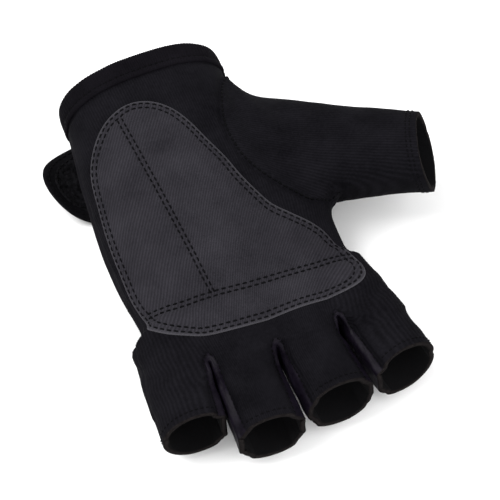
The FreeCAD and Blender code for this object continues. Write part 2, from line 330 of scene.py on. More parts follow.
# ---------------------------------------------------------------- curves
def smooth_line(points, closed=False, step=0.8):
    """Catmull-Rom through the given points, cut into even steps."""
    p = np.array(points, float)
    count = len(p)
    pieces = []
    for i in range(count if closed else count - 1):
        if closed:
            a, b, c, d = (p[(i + k - 1) % count] for k in range(4))
        else:
            a, b, c, d = (p[min(max(i + k - 1, 0), count - 1)] for k in range(4))
        t = np.linspace(0, 1, 24, endpoint=False)[:, None]
        pieces.append(0.5 * (2 * b + (c - a) * t + (2 * a - 5 * b + 4 * c - d) * t ** 2
                             + (3 * b - a - 3 * c + d) * t ** 3))
    line = np.concatenate(pieces + [p[:1] if closed else p[-1:]])
    length = np.concatenate([[0], np.cumsum(np.linalg.norm(np.diff(line, axis=0), axis=1))])
    cuts = max(2, int(round(length[-1] / step)))
    at = np.linspace(0, length[-1], cuts + 1)
    even = np.stack([np.interp(at, length, line[:, k]) for k in range(line.shape[1])], 1)
    return even[:-1] if closed else even


def line_distance(points, line, closed=False):
    """Distance in the plane from points to a polyline."""
    start = line
    end = np.roll(line, -1, axis=0)
    if not closed:
        start, end = start[:-1], end[:-1]
    best = np.full(len(points), 1e9)
    for a, b in zip(start, end):
        run = b - a
        share = np.clip(((points - a) @ run) / max(run @ run, 1e-12), 0, 1)
        best = np.minimum(best, np.hypot(*(points - a - share[:, None] * run).T))
    return best


def inside_outline(points, line):
    """True where a point is inside a closed polyline."""
    x, y = points.T
    odd = np.zeros(len(points), bool)
    for (x0, y0), (x1, y1) in zip(line, np.roll(line, -1, axis=0)):
        crosses = (y0 > y) != (y1 > y)
        if y0 != y1:
            odd ^= crosses & (x < (x1 - x0) * (y - y0) / (y1 - y0) + x0)
    return odd


def outline_distance(points, line):
    """Signed distance to a closed outline, positive inside it."""
    d = line_distance(points, line, closed=True)
    return np.where(inside_outline(points, line), d, -d)


def around(points):
    """Around-and-along coordinates of points near the hand."""
    return np.stack([AROUND * np.arctan2(points[:, 0] - MIDDLE_X, points[:, 2] - MIDDLE_Z), points[:, 1]], 1)


def waves(points, seed, scale):
    """Smooth unevenness between -1 and 1, the same on every run."""
    rng = np.random.RandomState(seed)
    total = np.zeros(len(points))
    for _ in range(9):
        direction = rng.normal(size=3)
        direction *= rng.uniform(0.6, 1.6) / (np.linalg.norm(direction) * scale)
        total += np.sin(points @ direction * 2 * math.pi + rng.uniform(0, 6.28))
    return total / 5.0


# ---------------------------------------------------------------- the shell and its panels
def cut_mouth(points, quads, mouth, belongs):
    """Drop a stall's faces past its mouth's plane, and bring the new edge onto the plane."""
    tip, normal, along = mouth
    centres = points[quads].mean(1)
    gone = ((centres - tip) @ normal > 0) & belongs(centres)
    kept = quads[~gone]
    edge = np.intersect1d(np.unique(kept), np.unique(quads[gone]))
    past = ((points[edge] - tip) @ normal) / (along @ normal)
    points[edge] -= past[:, None] * along
    return kept


def finger_number(points):
    """Which finger a point belongs to: how many slots it lies past, counted from the little finger."""
    return sum((slot_coordinates(slot, points[:, 0], points[:, 1])[1] > 0).astype(int) for slot in SLOTS)


def cut_mouths(points, quads):
    """Cut the cuff and the stalls open; a mouth is its middle, its normal and its stall's direction."""
    cuff = (np.array([0, CUFF_Y, 0]), np.array([0, 1.0, 0]), np.array([0, 1.0, 0]))
    quads = cut_mouth(points, quads, cuff, lambda c: c[:, 1] > 0)
    mouths = {}
    for number, (name, (root_x, azimuth, _, _, length, tilt)) in enumerate(FINGERS.items()):
        along = frame_at(azimuth, FINGER_TILT)[0]
        root = np.array([root_x, FINGER_ROOT_Y, FINGER_Z])
        mouths[name] = (root + along * length, frame_at(azimuth, tilt)[0], along)

        def on_finger(c):
            return ((c - root) @ along > 12) & (finger_number(c) == number) & (c[:, 1] < ROOT_Y)
        quads = cut_mouth(points, quads, mouths[name], on_finger)
    tip, azimuth, tilt = (np.array(part) for part in THUMB_END)
    along = tip - np.array(THUMB[-3][:3])
    along /= np.linalg.norm(along)
    mouths["thumb"] = (tip, frame_at(azimuth, tilt)[0], along)
    quads = cut_mouth(points, quads, mouths["thumb"], lambda c: c[:, 0] > 62)
    return points, quads, mouths


def snap(points, quads, field, reach=1.2):
    """Move the vertices where a panel ends onto the line where its field is zero."""
    value = field(points)
    side = field(points[quads].mean(1)) > 0
    shared = np.intersect1d(np.unique(quads[side]), np.unique(quads[~side]))
    shared = shared[(np.abs(value[shared]) < reach) & (points[shared, 1] < CUFF_Y - 1)]
    p = points[shared]
    normal = vertex_normals(points, quads)[shared]
    h = 0.2
    slope = np.stack([field(p + h * e) - field(p - h * e) for e in np.eye(3)], 1) / (2 * h)
    slope -= normal * (slope * normal).sum(1)[:, None]
    size = np.maximum((slope ** 2).sum(1), 0.15)
    points[shared] -= slope * (value[shared] / size)[:, None]
    return points


THUMB_LINE = smooth_line(THUMB_PANEL, closed=True, step=1.5)


def thumb_field(p):
    return outline_distance(p[:, :2], THUMB_LINE)


def finger_field(p):
    return np.where(thumb_field(p) > 0, -9.0, ROOT_Y - 0.2 - p[:, 1])


def side_height(p):
    """Height of the seam between the palm-side and back panels."""
    hand = station(p[:, 1], 5) + 4.0
    thumb = np.interp(p[:, 0], [20, 57, 84, 98], [19, 21, 26, 30])
    return np.where(thumb_field(p) > 0, thumb, hand)


def side_field(p):
    return p[:, 2] - side_height(p)


def web_half(s):
    """Half width of a fourchette, seen from the palm, along its slot."""
    return np.interp(s, [-3.0, -2.0, 0.0, 8.0, 40.0], [-1.0, 1.0, 2.4, 3.2, 4.6])


def web_field(p):
    """Positive on the fourchettes: the strips on both sides of each slot."""
    best = np.full(len(p), -50.0)
    for slot in SLOTS:
        s, q = slot_coordinates(slot, p[:, 0], p[:, 1])
        best = np.maximum(best, np.where(s > -4, web_half(s) - np.abs(q), -4.0))
    return best


def groove(away, depth, width):
    """How deep the cloth is drawn in at a distance from a seam or a fold."""
    return depth * np.exp(-(away / width) ** 2)


def press(points, normals, uv, line, depth, width):
    """A fold along a line on the palm side: a valley with a soft ridge on each side."""
    near = np.abs(uv[:, 0]) < AROUND * 1.9
    d = np.full(len(points), 1e3)
    d[near] = line_distance(uv[near], smooth_line(line, step=2.0))
    shift = groove(d - 2.2 * width, 0.35 * depth, width) - groove(d, depth, width)
    return points + normals * shift[:, None]


def shape_fabric(points, quads):
    """Seams pulled in, soft folds and unevenness of the stuffed fabric."""
    normals = vertex_normals(points, quads)
    uv = around(points)
    for line, depth, width in FOLDS:
        points = press(points, normals, uv, line, depth, width)
    # seams are drawn in where the panels are sewn together
    pull = groove(thumb_field(points), 1.15, 1.1)
    pull += groove(side_field(points), 0.55, 1.3) * (points[:, 1] < CUFF_Y - 6)
    pull += groove(web_field(points), 0.7, 0.9) * (points[:, 1] < ROOT_Y + 3)
    # crumpled fourchettes
    web = np.clip(web_field(points), 0, 1) * (points[:, 1] < ROOT_Y + 3)
    facing = np.abs(normals[:, 2])
    pull = pull * np.where(web > 0.5, facing, 1.0)
    pull += web * (1.6 * facing + (0.15 + 0.6 * facing) * waves(points, 5, 8.0))
    pull += groove(points[:, 1] - CUFF_Y + BINDING_WIDTH + 0.5, 0.8, 0.8)
    soft = 0.42 * waves(points, 11, 42.0) + 0.16 * waves(points, 12, 15.0)
    above_floor = np.clip((points[:, 2] - rest_level(points[:, 1]) - 0.1) / 4.0, 0, 1)
    points = points + normals * ((soft - pull) * above_floor)[:, None]
    points[:, 2] = np.maximum(points[:, 2], rest_level(points[:, 1]) - 0.05)
    return points


def open_edges(quads):
    """Directed edges that only one quad has."""
    edges = np.concatenate([quads[:, [a, (a + 1) % 4]] for a in range(4)])
    owner = np.tile(np.arange(len(quads)), 4)
    key = np.minimum(*edges.T) * (edges.max() + 1) + np.maximum(*edges.T)
    _, first, count = np.unique(key, return_index=True, return_counts=True)
    single = first[count == 1]
    return edges[single], owner[single]


def make_mesh(name, points, faces, face_material=None, materials=(), uv=None, normals=None):
    """A mesh object, in metres, from millimetres."""
    mesh = bpy.data.meshes.new(name)
    mesh.from_pydata((np.asarray(points) * MM).tolist(), [], [list(map(int, f)) for f in faces])
    for material in materials:
        mesh.materials.append(material)
    if face_material is not None:
        mesh.polygons.foreach_set("material_index", np.asarray(face_material, np.int32))
    mesh.polygons.foreach_set("use_smooth", [True] * len(mesh.polygons))
    if uv is not None:
        layer = mesh.uv_layers.new(name="UVMap")
        loops = np.zeros(len(mesh.loops), np.int32)
        mesh.loops.foreach_get("vertex_index", loops)
        layer.data.foreach_set("uv", np.asarray(uv)[loops].astype(np.float32).ravel())
    if normals is not None:
        mesh.normals_split_custom_set_from_vertices(np.asarray(normals).tolist())
    mesh.update()
    obj = bpy.data.objects.new(name, mesh)
    bpy.context.scene.collection.objects.link(obj)
    return obj


def set_attribute(obj, name, values):
    attribute = obj.data.attributes.new(name, "FLOAT", "POINT")
    attribute.data.foreach_set("value", np.asarray(values, np.float32))


# ---------------------------------------------------------------- materials
def shader(name, color, roughness, sheen=0.0, specular=0.3):
    material = bpy.data.materials.new(name)
    material.use_nodes = True
    tree = material.node_tree
    bsdf = tree.nodes["Principled BSDF"]
    bsdf.inputs["Base Color"].default_value = (*color, 1)
    bsdf.inputs["Roughness"].default_value = roughness
    bsdf.inputs["Specular IOR Level"].default_value = specular
    bsdf.inputs["Sheen Weight"].default_value = sheen
    bsdf.inputs["Sheen Roughness"].default_value = 0.45
    return material, tree, bsdf


def add(tree, kind, **values):
    """A node with its input values and properties set by name."""
    made = tree.nodes.new(kind)
    for key, value in values.items():
        socket = key.replace("_", " ")
        if socket in made.inputs:
            made.inputs[socket].default_value = value
        else:
            setattr(made, key, value)
    return made


WAVE_PERIOD = UV_SPAN * math.pi / 10      # a wave texture's bands at scale 1, in mm


def cloth(name, dark, light, roughness, sheen, rib=None, rib_bump=0.15, grain=900.0, grain_bump=0.12,
          mottle=55.0, specular=0.02):
    """Fabric: mottled colour, a fine grain and, if asked for, ribs along one direction of its UV map, with
    painted shade in their grooves.
    """
    material, tree, bsdf = shader(name, dark, roughness, sheen, specular)
    place = add(tree, "ShaderNodeTexCoord")
    patches = add(tree, "ShaderNodeTexNoise", Scale=mottle, Detail=6.0, Roughness=0.65)
    tree.links.new(place.outputs["Object"], patches.inputs["Vector"])
    fine = add(tree, "ShaderNodeTexNoise", Scale=grain, Detail=3.0, Roughness=0.6)
    tree.links.new(place.outputs["Object"], fine.inputs["Vector"])
    blend = add(tree, "ShaderNodeMath", operation="MULTIPLY_ADD")
    tree.links.new(fine.outputs["Fac"], blend.inputs[0])
    blend.inputs[1].default_value = 0.55
    tree.links.new(patches.outputs["Fac"], blend.inputs[2])
    ramp = add(tree, "ShaderNodeValToRGB")
    ramp.color_ramp.elements[0].position = 0.55
    ramp.color_ramp.elements[0].color = (*dark, 1)
    ramp.color_ramp.elements[1].position = 1.05
    ramp.color_ramp.elements[1].color = (*light, 1)
    tree.links.new(blend.outputs[0], ramp.inputs["Fac"])
    color = ramp.outputs["Color"]
    bump = add(tree, "ShaderNodeBump", Strength=grain_bump, Distance=0.0004)
    tree.links.new(fine.outputs["Fac"], bump.inputs["Height"])
    normal = bump
    if rib:
        # a rib is its turn, its period and how strongly painted shade darkens its grooves
        turn, period, depth = rib
        mapping = add(tree, "ShaderNodeMapping")
        mapping.inputs["Rotation"].default_value = (0, 0, math.radians(turn))
        tree.links.new(place.outputs["UV"], mapping.inputs["Vector"])
        wave = add(tree, "ShaderNodeTexWave", Scale=WAVE_PERIOD / period, Distortion=0.6, Detail=1.5)
        wave.inputs["Detail Scale"].default_value = 1.5
        tree.links.new(mapping.outputs["Vector"], wave.inputs["Vector"])
        ribs = add(tree, "ShaderNodeBump", Strength=rib_bump, Distance=0.0005)
        tree.links.new(wave.outputs["Fac"], ribs.inputs["Height"])
        tree.links.new(bump.outputs["Normal"], ribs.inputs["Normal"])
        normal = ribs
        # painted shade: the colour is darkened in the ribs' grooves, where the wave is low
        painted_rib_shade = add(tree, "ShaderNodeMix", data_type="RGBA", blend_type="MULTIPLY")
        low = add(tree, "ShaderNodeMapRange")
        low.inputs["To Min"].default_value = 1.0 - depth
        tree.links.new(wave.outputs["Fac"], low.inputs["Value"])
        painted_rib_shade.inputs["Factor"].default_value = 1.0
        tree.links.new(color, painted_rib_shade.inputs["A"])
        tree.links.new(low.outputs["Result"], painted_rib_shade.inputs["B"])
        color = painted_rib_shade.outputs["Result"]
    tree.links.new(color, bsdf.inputs["Base Color"])
    tree.links.new(normal.outputs["Normal"], bsdf.inputs["Normal"])
    return material, tree, bsdf, color


def twill_material():
    """The overlay: a fine diagonal twill with painted shade in its grooves, and a paler cut edge."""
    # the twill's grooves get painted shade, up to a third darker
    material, tree, bsdf, color = cloth(
        "overlay_twill", (0.0120, 0.0112, 0.0140), (0.0250, 0.0236, 0.0285), 0.8, 0.02,
        rib=(38, 1.2, 0.34), rib_bump=0.4, grain=1400.0, grain_bump=0.3, mottle=40.0)
    edge = add(tree, "ShaderNodeAttribute", attribute_name="edge")
    pale = add(tree, "ShaderNodeMix", data_type="RGBA")
    pale.inputs["B"].default_value = (0.055, 0.053, 0.060, 1)
    tree.links.new(edge.outputs["Fac"], pale.inputs["Factor"])
    tree.links.new(color, pale.inputs["A"])
    tree.links.new(pale.outputs["Result"], bsdf.inputs["Base Color"])
    return material


# the palm jersey's rib grooves get painted shade, up to a third darker
JERSEY = cloth("neoprene_palm_jersey", (0.0026, 0.0024, 0.0033), (0.0066, 0.0062, 0.0080), 0.85, 0.0,
               rib=(0, 1.15, 0.32), rib_bump=0.18)[0]
BACK_JERSEY = cloth("neoprene_back_jersey", (0.0026, 0.0024, 0.0033), (0.0062, 0.0058, 0.0075), 0.85, 0.0)[0]
STRETCH = cloth("fourchette_stretch", (0.0020, 0.0014, 0.0030), (0.0058, 0.0042, 0.0080), 0.5, 0.0,
                grain=600.0, grain_bump=0.3, mottle=160.0, specular=0.06)[0]
LINING = cloth("lining_jersey", (0.0018, 0.0017, 0.002), (0.0035, 0.0033, 0.004), 0.95, 0.0, specular=0.1)[0]
FOAM = cloth("neoprene_cut_edge", (0.0040, 0.0034, 0.0036), (0.012, 0.0102, 0.0102), 0.9, 0.0,
             grain=2200.0, grain_bump=0.5, mottle=500.0)[0]
TWILL = twill_material()
TAPE_CLOTH = cloth("binding_tape", (0.0018, 0.0015, 0.0022), (0.0046, 0.0040, 0.0055), 0.75, 0.0,
                   grain=1800.0, grain_bump=0.25)[0]
STRAP_CLOTH = cloth("strap_jersey", (0.0022, 0.0021, 0.0026), (0.0050, 0.0048, 0.0058), 0.85, 0.0)[0]
FUZZ = cloth("hook_and_loop_fuzz", (0.0003, 0.0003, 0.0004), (0.0075, 0.0073, 0.0085), 0.95, 0.0,
             grain=900.0, grain_bump=1.0, mottle=420.0)[0]
THREAD = cloth("black_thread", (0.0014, 0.0014, 0.0016), (0.0035, 0.0034, 0.004), 0.6, 0.0,
               grain=3000.0, grain_bump=0.2)[0]


# ---------------------------------------------------------------- building the shell
def build_shell():
    """The outer surface with its mouths cut open, its seams and its folds; and the mouths."""
    points, quads = outside_form()
    points, quads, mouths = cut_mouths(points, quads)
    for field in (thumb_field, finger_field, web_field, side_field):
        points = snap(points, quads, field)
    points = shape_fabric(points, quads)
    return points, quads, vertex_normals(points, quads), mouths


outer, quads, normals, MOUTHS = build_shell()
TREE = BVHTree.FromPolygons(outer.tolist(), quads.tolist())
FAR = 110.0                                    # well outside the glove, where rays start


def cast(start, direction):
    """The shell's first point from a place in a direction, and its normal there."""
    hit, normal, _, _ = TREE.ray_cast(Vector(start), Vector(direction))
    return (None, None) if hit is None else (np.array(hit), np.array(normal))


def cast_or_nearest(start, direction, near):
    hit, normal = cast(start, direction)
    if hit is None:
        found = TREE.find_nearest(Vector(near))
        hit, normal = np.array(found[0]), np.array(found[1])
    return hit, normal


def on_palm(u, y):
    """The point of the outer surface at around-and-along coordinates, and its normal."""
    out = np.array([math.sin(u / AROUND), 0, math.cos(u / AROUND)])
    centre = np.array([MIDDLE_X, y, MIDDLE_Z])
    hit, normal = cast_or_nearest(centre + out * FAR, -out, centre + out * 30)
    return hit, normal if normal @ out > 0 else -normal


def from_above(x, y):
    return cast_or_nearest((x, y, FAR), (0, 0, -1), (x, y, 20))


def panel_labels(centres):
    """Which panel each face of the shell belongs to."""
    thumb = thumb_field(centres) > 0
    finger = (finger_field(centres) > 0) & ~thumb
    web = (web_field(centres) > 0) & (centres[:, 1] < ROOT_Y - 0.2)
    front = side_field(centres) > 0
    offsets = np.stack([slot_coordinates(slot, centres[:, 0], centres[:, 1])[1] for slot in SLOTS])
    nearest = offsets[np.abs(offsets).argmin(0), np.arange(len(centres))]
    label = np.where(front, "palm_panel", "back_panel").astype("<U40")
    label[thumb] = np.where(front[thumb], "thumb_front", "thumb_back")
    for number, name in enumerate(FINGERS):
        mine = finger & (finger_number(centres) == number)
        label[mine] = np.where(front[mine], name + "_front", name + "_back")
        # a finger's ulnar wall is on the far side of the slot before it, its radial wall before the next
        if number > 0:
            label[mine & web & (nearest > 0)] = name + "_fourchette_ulnar"
        if number < len(SLOTS):
            label[mine & web & (nearest <= 0)] = name + "_fourchette_radial"
    return label


def shell_uv():
    """Cloth directions: along the hand, and along the thumb on the thumb's panels."""
    run = np.array(THUMB[-1][:2]) - np.array(THUMB[0][:2])
    run /= np.hypot(*run)
    along_thumb = np.stack([outer[:, 1] * run[0] - outer[:, 0] * run[1], outer[:, :2] @ run], 1)
    on_thumb = thumb_field(outer) > 0
    return np.where(on_thumb[:, None], along_thumb, around(outer)) / UV_SPAN


def mouth_direction(point):
    """The way that the mouth near a point faces; the cuff's faces +Y."""
    facing = np.array([0, 1.0, 0])
    for tip, normal, _ in MOUTHS.values():
        if abs((point - tip) @ normal) < 3 and np.linalg.norm(point - tip) < 26:
            facing = normal
    return facing


def build_rims(inner, label):
    """Cut edges of the neoprene at the mouths: a slightly uneven ring between fabric and lining."""
    edges, owner = open_edges(quads)
    count = len(outer)
    middle = {}
    points, facings, faces, labels = [], [], [], []
    for v in edges.ravel().tolist():
        if v not in middle:
            out = mouth_direction(outer[v])
            bulge = 0.25 + 0.12 * np.random.RandomState(v).uniform(-1, 1)
            middle[v] = 2 * count + len(points)
            points.append((outer[v] + inner[v]) / 2 + out * bulge)
            facings.append(out)
    for (a, b), face in zip(edges.tolist(), owner.tolist()):
        faces += [(b, a, middle[a], middle[b]), (middle[b], middle[a], a + count, b + count)]
        labels += [label[face]] * 2
    return np.array(points), np.array(facings), np.array(faces), np.array(labels)


def build_panels():
    """Outer fabric, lining and cut edges, split into the sewn panels."""
    inner = outer - normals * WALL
    label = panel_labels(outer[quads].mean(1))
    rim, rim_normals, rim_faces, rim_labels = build_rims(inner, label)
    uv = shell_uv()
    points = np.concatenate([outer, inner, rim])
    point_normals = np.concatenate([normals, -normals, rim_normals])
    faces = np.concatenate([quads, quads[:, ::-1] + len(outer), rim_faces])
    labels = np.concatenate([label, label, rim_labels])
    kinds = np.repeat([0, 1, 2], [len(quads), len(quads), len(rim_faces)])
    uvs = np.concatenate([uv, uv, np.zeros((len(rim), 2))])
    panels = {}
    for name in sorted(set(labels)):
        mine = labels == name
        used, compact = np.unique(faces[mine], return_inverse=True)
        outside = STRETCH if "fourchette" in name else BACK_JERSEY if "back" in name else JERSEY
        panels[name] = make_mesh(name + "_fabric", points[used], compact.reshape(-1, 4), kinds[mine],
                                 (outside, LINING, FOAM), uvs[used], point_normals[used])
    return panels


# ---------------------------------------------------------------- flat pieces
def side_steps(line):
    """Unit vectors across a closed polyline at its points."""
    run = np.roll(line, -1, axis=0) - np.roll(line, 1, axis=0)
    return np.stack([-run[:, 1], run[:, 0]], 1) / np.linalg.norm(run, axis=1)[:, None]


def inward(line, distance):
    """A closed polyline brought in by a distance."""
    moved = line + side_steps(line) * distance
    return moved if inside_outline(moved[:1], line)[0] else line - side_steps(line) * distance


def fill_outline(line, low, high, step, inset, margin):
    """Points and triangles that fill a closed outline from a grid, with a second ring just inside it."""
    x, y = np.meshgrid(np.arange(low[0], high[0], step), np.arange(low[1], high[1], step))
    x[1::2] += step / 2
    inner = np.stack([x.ravel(), y.ravel()], 1)
    inner = inner[outline_distance(inner, line) > margin]
    flat = np.concatenate([line, inward(line, inset), inner])
    edges = [(i, (i + 1) % len(line)) for i in range(len(line))]
    made, _, faces, _, _, _ = delaunay_2d_cdt([Vector(p) for p in flat.tolist()], edges, [], 1, 1e-5)
    flat = np.array([tuple(v) for v in made])
    turned = []
    for face in faces:
        a, b, c = (flat[i] for i in face[:3])
        upward = (b - a)[0] * (c - a)[1] > (b - a)[1] * (c - a)[0]
        turned.append(list(face) if upward else list(face)[::-1])
    return flat, turned


def two_sided(top, bottom, faces):
    """The points and faces of a thin piece: its top, its underside and the walls between them."""
    lone = {}
    for face in faces:
        for a, b in zip(face, face[1:] + face[:1]):
            if (b, a) in lone:
                del lone[(b, a)]
            else:
                lone[(a, b)] = True
    count = len(top)
    walls = [(b, a, a + count, b + count) for a, b in lone]
    under = [[i + count for i in face[::-1]] for face in faces]
    return np.concatenate([top, bottom]), faces + under + walls


OVERLAY_THICK = 0.85
OVERLAY_GRID = ((-56, -46), (58, 72))    # low and high corners of its grid of inner points


def overlay_height(flat, away):
    """How far the overlay stands off the palm: its rolled edge, sunk stitch rows and padded band."""
    length_row, cross_row = smooth_line(LENGTH_ROW), smooth_line(CROSS_ROW)
    height = OVERLAY_THICK - groove(away, 0.45, 0.35)
    for line in (length_row, cross_row):
        d = line_distance(flat, line)
        height -= groove(d - ROW_HALF, 0.42, 0.5) + groove(d, 0.28, 1.8)
    for inset in BORDER_ROWS:
        height -= groove(away - inset, 0.32, 0.45)
    below = np.clip(np.interp(flat[:, 0], *cross_row.T) - flat[:, 1], 0, None)
    height += 0.9 * np.clip(below / 2.5, 0, 1) * np.clip((away - 3.0) / 4.0, 0, 1)
    height -= groove(below - 1.9, 0.75, 1.3) * (below > 0)
    return height + 0.3 * np.clip((away - 3.5) / 6, 0, 1)


def build_overlay():
    """The twill overlay: its outline in around-and-along coordinates, filled and laid on the palm."""
    outline = smooth_line(OVERLAY, closed=True, step=1.0)
    flat, faces = fill_outline(outline, *OVERLAY_GRID, 1.0, 0.45, 1.1)
    away = np.maximum(outline_distance(flat, outline), 0)
    height = np.maximum(overlay_height(flat, away), 0.12)[:, None]
    spots = [on_palm(u, y) for u, y in flat]
    palm, out = (np.array(part) for part in zip(*spots))
    top = palm + out * height
    points, every_face = two_sided(top, palm - out * 0.15, faces)
    obj = make_mesh("palm_patch_twill", points, every_face, None, (TWILL,),
                    np.concatenate([flat, flat]) / UV_SPAN)
    edge = np.exp(-(away / 0.4) ** 2)
    set_attribute(obj, "edge", np.concatenate([edge, edge]))
    return obj, BVHTree.FromPolygons(top.tolist(), faces)


# ---------------------------------------------------------------- threads
# Along a stitch: its radius as a share of the full one, and how far it rises out of the cloth
STITCH_SHAPE = [(0.35, -0.32), (0.9, -0.05), (1.0, 0.08), (0.9, -0.05), (0.35, -0.32)]
STITCH_TIP = 0.3
STITCH_SIDES = 6


def stitches(name, rows, pitch=2.9, length=2.25, radius=0.27):
    """Rows of separate stitches: each row is a polyline of points with normals."""
    points, faces = [], []
    turns = [2 * math.pi * i / STITCH_SIDES for i in range(STITCH_SIDES)]
    for line, ups in rows:
        line, ups = np.array(line), np.array(ups)
        at = np.concatenate([[0], np.cumsum(np.linalg.norm(np.diff(line, axis=0), axis=1))])
        count = int(at[-1] // pitch)
        for k in range(count):
            start = (k + 0.5) * at[-1] / count - length / 2
            spots = start + np.array([0, STITCH_TIP, length / 2, length - STITCH_TIP, length])
            centres = np.stack([np.interp(spots, at, line[:, i]) for i in range(3)], 1)
            up = np.array([np.interp(spots[2], at, ups[:, i]) for i in range(3)])
            up /= np.linalg.norm(up)
            along = centres[-1] - centres[0]
            along /= max(np.linalg.norm(along), 1e-9)
            across = np.cross(along, up)
            base = len(points)
            for centre, (size, rise) in zip(centres, STITCH_SHAPE):
                middle = centre + up * (rise + radius * 0.55)
                for a in turns:
                    points.append(middle + (across * math.cos(a) + up * math.sin(a)) * radius * size)
            last = base + (len(spots) - 1) * STITCH_SIDES
            for ring in range(base, last, STITCH_SIDES):
                for i in range(STITCH_SIDES):
                    a, b = ring + i, ring + (i + 1) % STITCH_SIDES
                    faces.append((a, b, b + STITCH_SIDES, a + STITCH_SIDES))
            faces.append(list(range(base + STITCH_SIDES - 1, base - 1, -1)))
            faces.append(list(range(last, last + STITCH_SIDES)))
    return make_mesh(name, np.array(points), faces, None, (THREAD,))


def overlay_row(line, tree):
    """A row on the overlay's own surface."""
    points, ups = [], []
    for u, y in line:
        p, n = on_palm(u, y)
        hit = tree.ray_cast(Vector(p + n * 6), Vector(-n))[0]
        points.append(p if hit is None else np.array(hit))
        ups.append(n)
    return points, ups


def offset_line(line, distance):
    """A polyline moved sideways."""
    run = np.gradient(line, axis=0)
    across = np.stack([-run[:, 1], run[:, 0]], 1) / np.linalg.norm(run, axis=1)[:, None]
    return line + across * distance


def inset_outline(distance):
    """The overlay's outline, brought in by a distance and closed."""
    line = smooth_line(OVERLAY, closed=True, step=1.0)
    moved = inward(line, distance)
    return np.concatenate([moved, moved[:1]])


def mouth_rows(name, back_by, count=90):
    """Rows of points round a stall, a distance back from its cut end, leaving out the fourchettes."""
    tip, normal, along = MOUTHS[name]
    across = np.cross(normal, (0, 0, 1.0))
    across /= np.linalg.norm(across)
    up = np.cross(across, normal)
    centre = tip - along * back_by
    rows, points, ups = [], [], []
    for i in range(count + 1):
        a = 2 * math.pi * i / count
        out = across * math.cos(a) + up * math.sin(a)
        hit, _ = cast(centre + out * 2, out)
        if hit is not None and web_field(hit[None])[0] < -0.6:
            points.append(hit)
            ups.append(out)
        elif points:
            rows.append((points, ups))
            points, ups = [], []
    return [row for row in rows + [(points, ups)] if len(row[0]) > 4]


def web_rows(slot, side):
    """The two seams, palm side and back, along one edge of a fourchette."""
    along, across, _ = frame_at(slot[2], 0)
    rows = []
    # from above down to the palm side, and from below up to the back; each keeps to its own half
    for way, keeps in ((-1, lambda z: z >= 17), (1, lambda z: z <= 14)):
        points, ups = [], []
        for s in np.arange(-2.3, 36, 0.8):
            half = float(web_half(s)) + 0.1
            x, y = np.array(slot[:2]) + along[:2] * s + across[:2] * half * side
            hit, n = cast((x, y, -way * FAR), (0, 0, way))
            if hit is None or not keeps(hit[2]):
                continue
            points.append(hit)
            ups.append(n if n[2] * way < 0 else -n)
        if len(points) > 4:
            rows.append((points, ups))
    return rows


# ---------------------------------------------------------------- cuff binding
RIBS = 148
RIB_DEPTH = 0.17
BINDING_ROW = -7.1             # the stitch row, along Y from the cuff's edge
# Section of the tape: distance along Y from the cuff's edge, height over the fabric, share of a rib
BINDING = [
    (-9.9, -0.15, 0), (-9.95, 0.55, 0.3), (-9.6, 0.85, 1), (-9.0, 0.95, 1), (-8.2, 0.95, 1),
    (-7.5, 0.75, 0.6), (BINDING_ROW, 0.5, 0.2), (-6.7, 0.75, 0.6), (-6.0, 0.98, 1),
    (-4.8, 1.05, 1), (-3.4, 1.1, 1),
    (-2.0, 1.1, 1), (-0.8, 1.0, 1), (0.1, 0.75, 1), (0.65, 0.1, 1), (0.9, -0.9, 0.8), (0.75, -2.0, 0.6),
    (0.2, -2.9, 0.5), (-0.7, -3.25, 0.5), (-3.0, -3.3, 0.5), (-6.0, -3.3, 0.5), (-9.0, -3.25, 0.3),
    (-9.8, -3.0, 0), (-10.0, -2.3, 0)]


CUFF_MIDDLE_X = (station(CUFF_Y, 1) + station(CUFF_Y, 2)) / 2
CUFF_MIDDLE_Z = station(CUFF_Y, 5)


def on_cuff(angle, back):
    """The outer fabric at an angle round the cuff and a distance along Y from its edge."""
    centre = np.array([CUFF_MIDDLE_X, CUFF_Y + back, CUFF_MIDDLE_Z])
    out = np.array([math.cos(angle), 0, math.sin(angle)])
    hit, normal = cast(centre + out * 5, out)
    return hit, normal, out


def build_binding():
    """Ribbed tape folded over the cuff's edge, and its row of stitches."""
    steps = RIBS * 4
    points = []
    for i in range(steps):
        rib = math.cos(2 * math.pi * i / 4 + 0.7)
        for back, height, share in BINDING:
            hit, normal, out = on_cuff(2 * math.pi * i / steps, min(back, -0.3))
            normal = normal * (1, 0, 1)
            normal *= math.copysign(1 / np.linalg.norm(normal), normal @ out)
            p = hit + normal * (height + RIB_DEPTH * rib * share)
            p[1] = CUFF_Y + back
            points.append(p)
    rows = len(BINDING)
    faces = []
    for i in range(steps):
        j = (i + 1) % steps
        for k in range(rows):
            after = (k + 1) % rows
            faces.append((i * rows + k, i * rows + after, j * rows + after, j * rows + k))
    binding = make_mesh("cuff_binding_tape", np.array(points), faces, None, (TAPE_CLOTH,))
    ring = [on_cuff(2 * math.pi * i / 240, BINDING_ROW) for i in range(241)]
    row = ([hit + out * 0.55 for hit, _, out in ring], [out for _, _, out in ring])
    return binding, stitches("cuff_binding_thread", [row], pitch=2.6, length=2.0)


